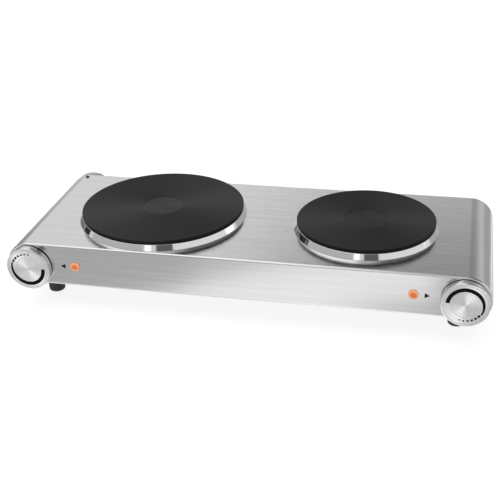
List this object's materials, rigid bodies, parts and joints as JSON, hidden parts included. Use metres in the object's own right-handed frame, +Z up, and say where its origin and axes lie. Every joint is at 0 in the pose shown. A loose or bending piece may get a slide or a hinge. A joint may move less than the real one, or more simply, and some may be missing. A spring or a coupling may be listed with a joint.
{
  "type": "double hot plate",
  "caption": "Low electric double hot plate: brushed steel housing with round ends, large and small cast-iron plates in bright rings, and knobs on its round ends.",
  "frame": {"origin": "on the table, under the middle of the footprint over knobs and cord cap", "axes": "+X along the housing towards the small plate, +Y from the knobs to the rear, +Z up"},
  "size_m": [0.5328, 0.218, 0.0904],
  "materials": {
    "stainless": "brushed, grain along the length",
    "galvanised": "satin zinc",
    "rubber": "matt black",
    "zinc": "bright zinc",
    "black_plastic": "matt black",
    "cast_iron": "turned face, matt black coating",
    "chrome": "mirror polish",
    "ceramic": "matt ceramic white",
    "brass": "plain brass",
    "spun_metal": "spun face, polished rim",
    "amber": "clear amber moulding",
    "bulb_glass": "clear, faint orange",
    "lead_sleeve": "woven glass sleeve"
  },
  "bodies": {
    "housing": {"housing_shell": "stainless", "base_plate": "galvanised", "cord_cap": "galvanised", "large_cover_dish": "galvanised", "small_cover_dish": "galvanised", "large_clamp_bar": "galvanised", "small_clamp_bar": "galvanised", "foot_front_left": "rubber", "foot_front_right": "rubber", "foot_rear_left": "rubber", "foot_rear_right": "rubber", "cord_gland": "rubber", "foot_screw_front_left": "zinc", "foot_screw_front_right": "zinc", "foot_screw_rear_left": "zinc", "foot_screw_rear_right": "zinc", "base_screw_front_left": "zinc", "base_screw_front_right": "zinc", "base_screw_rear_left": "zinc", "base_screw_rear_right": "zinc", "large_centre_stud": "zinc", "small_centre_stud": "zinc", "large_stud_nut": "zinc", "small_stud_nut": "zinc", "cord_cap_screw": "black_plastic", "left_lamp_holder": "black_plastic", "right_lamp_holder": "black_plastic", "large_hotplate": "cast_iron", "small_hotplate": "cast_iron", "large_trim_ring": "chrome", "small_trim_ring": "chrome", "large_heating_winding": "ceramic", "small_heating_winding": "ceramic", "large_thermal_cutout": "ceramic", "small_thermal_cutout": "ceramic", "left_regulator": "ceramic", "right_regulator": "ceramic", "terminal_block": "ceramic", "left_regulator_nut": "brass", "right_regulator_nut": "brass", "earth_screw": "brass", "left_lamp_lens": "amber", "right_lamp_lens": "amber", "left_lamp_bulb": "bulb_glass", "right_lamp_bulb": "bulb_glass", "large_live_lead": "lead_sleeve", "large_switched_lead": "lead_sleeve", "large_neutral_lead": "lead_sleeve", "small_live_lead": "lead_sleeve", "small_switched_lead": "lead_sleeve", "small_neutral_lead": "lead_sleeve"},
    "left_control": {"left_knob": "spun_metal", "left_knob_hub": "black_plastic", "left_shaft": "zinc"},
    "right_control": {"right_knob": "spun_metal", "right_knob_hub": "black_plastic", "right_shaft": "zinc"}
  },
  "joints": [
    {"name": "left_knob_turn", "type": "hinge", "parent": "housing", "child": "left_control", "pos_m": [-0.239, -0.1, 0.0525], "axis": [0, -1, 0], "range_deg": [0, 285]},
    {"name": "right_knob_turn", "type": "hinge", "parent": "housing", "child": "right_control", "pos_m": [0.239, -0.1, 0.0525], "axis": [0, -1, 0], "range_deg": [0, 285]}
  ]
}
